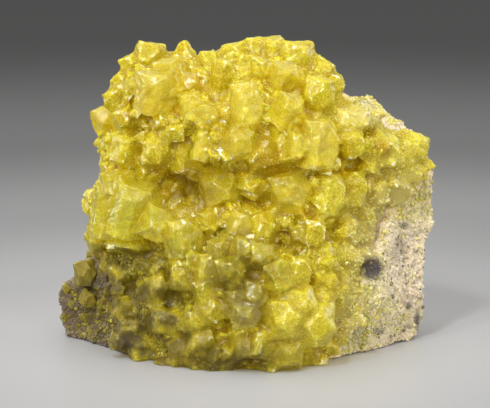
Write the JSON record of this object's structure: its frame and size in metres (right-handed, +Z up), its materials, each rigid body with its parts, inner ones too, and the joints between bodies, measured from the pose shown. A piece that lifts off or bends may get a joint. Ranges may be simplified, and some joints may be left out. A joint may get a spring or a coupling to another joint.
{
  "type": "native sulfur crystal specimen on matrix",
  "caption": "Hand-size mineral specimen: blocky, translucent yellow sulfur crystals grown together over the front and top of a rough rock matrix, resting on a flat base.",
  "frame": {"origin": "on the surface the specimen stands on, under the middle of its bounding box", "axes": "+X to the right across the show face, +Y away from the viewer through the rock, +Z up; the crystal face looks along -Y"},
  "size_m": [0.089, 0.0626, 0.0729],
  "materials": {
    "sulfur": "translucent, resinous gloss",
    "dull_sulfur": "dull, dusty",
    "rock": "rough, granular"
  },
  "bodies": {
    "root": {"matrix": "rock", "sulfur_druse": "sulfur", "apron_long_crystal": "dull_sulfur", "apron_small_crystal": "dull_sulfur"}
  },
  "joints": []
}
